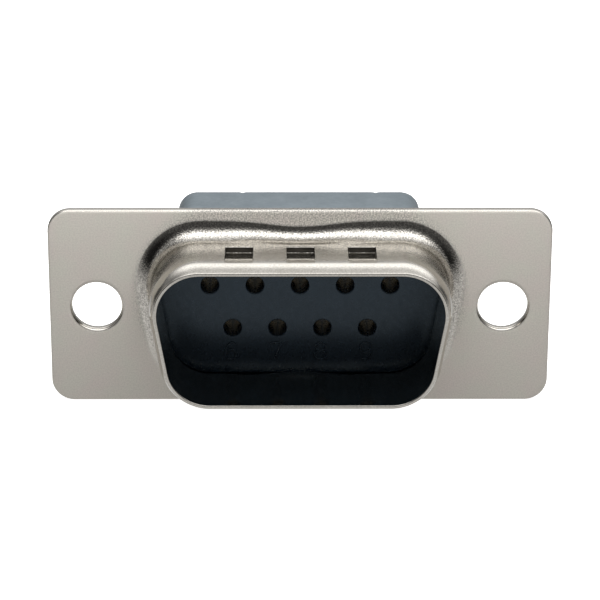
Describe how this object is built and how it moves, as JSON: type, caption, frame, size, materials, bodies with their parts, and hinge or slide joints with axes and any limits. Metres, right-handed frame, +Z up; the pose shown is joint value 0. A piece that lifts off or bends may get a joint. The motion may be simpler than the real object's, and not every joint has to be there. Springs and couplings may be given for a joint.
{
  "type": "d-sub connector housing",
  "caption": "D-shaped plug housing with a drawn metal mating shell, screw flange and dark insulator with two rows of empty crimp contact cavities.",
  "frame": {"origin": "middle of the flange's front face, half way between the axes of the two screw holes", "axes": "+X along the flange from screw hole to screw hole, +Z up with the longer contact row uppermost, -Y out of the mating side and +Y towards the wires"},
  "size_m": [0.0308, 0.0147, 0.0126],
  "materials": {
    "front_plate": "satin tin plate, lightly grained, drawn",
    "rear_plate": "satin tin plate",
    "insulator": "moulded, low sheen",
    "rear_insulator": "moulded, low sheen",
    "clip": "rolled strip"
  },
  "bodies": {
    "root": {"front_shell": "front_plate", "rear_shell": "rear_plate", "front_insulator": "insulator", "rear_insulator": "rear_insulator", "retention_clip_1": "clip", "retention_clip_2": "clip", "retention_clip_3": "clip", "retention_clip_4": "clip", "retention_clip_5": "clip", "retention_clip_6": "clip", "retention_clip_7": "clip", "retention_clip_8": "clip", "retention_clip_9": "clip"}
  },
  "joints": []
}
